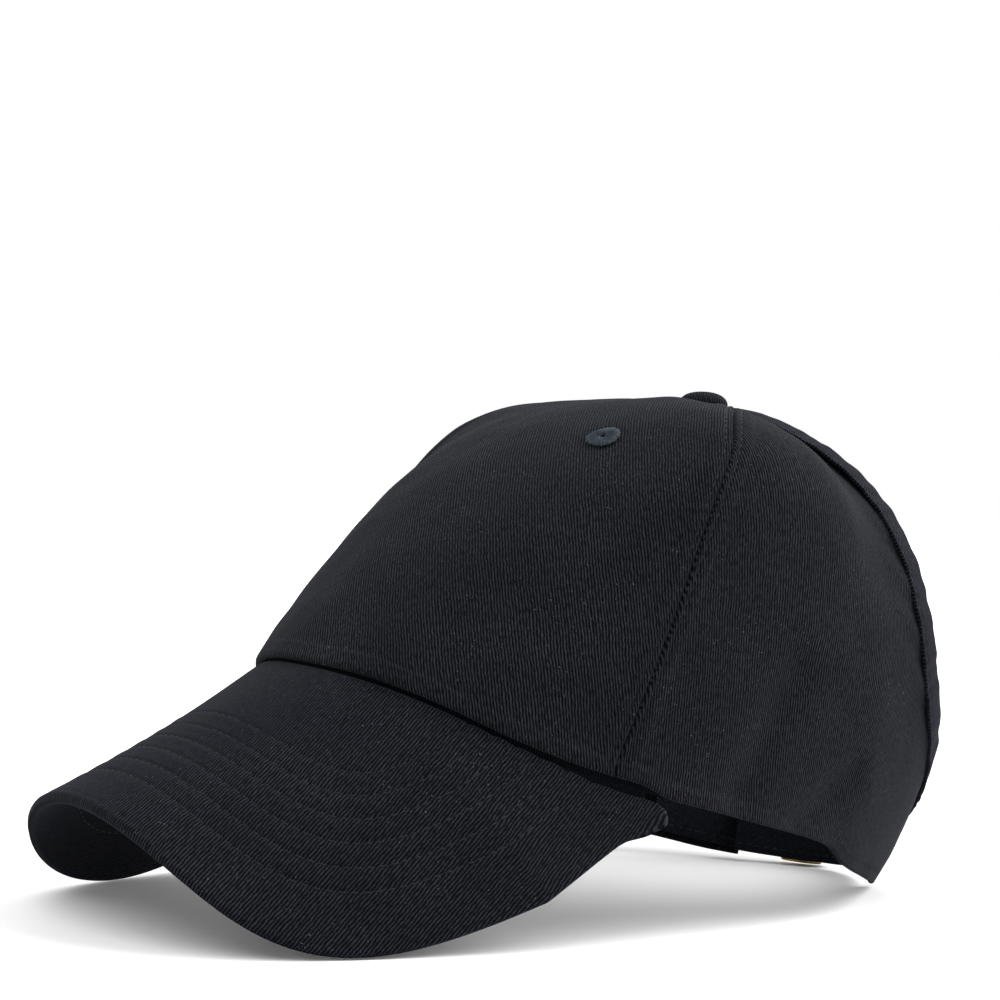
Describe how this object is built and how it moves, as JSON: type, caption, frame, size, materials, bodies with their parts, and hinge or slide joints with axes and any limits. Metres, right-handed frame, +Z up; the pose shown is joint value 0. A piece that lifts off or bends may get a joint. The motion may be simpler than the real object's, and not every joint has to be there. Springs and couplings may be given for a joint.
{
  "type": "ponytail baseball cap",
  "caption": "Soft cotton-twill baseball cap with a strongly curved visor, a large open back for a ponytail and a rear strap with a brass slide buckle.",
  "frame": {"origin": "centre of the cap in plan, on the surface that it rests on", "axes": "+Z up, the visor points along -Y, +X is the wearer's left"},
  "size_m": [0.1584, 0.2808, 0.148],
  "materials": {
    "black_twill": "soft matt cotton twill with a faint sheen",
    "binding_tape": "folded self-fabric tape, stitched along one edge",
    "inner_band": "matt plain cotton band",
    "stitching": "dark navy thread with a low sheen",
    "brass_buckle": "worn antique brass"
  },
  "bodies": {
    "root": {"front_panel": "black_twill", "side_panel_left": "black_twill", "side_panel_right": "black_twill", "visor": "black_twill", "sweatband": "inner_band", "opening_binding": "binding_tape", "top_button": "black_twill", "front_eyelet": "stitching", "strap_left": "black_twill", "strap_right": "black_twill", "buckle": "brass_buckle"}
  },
  "joints": []
}
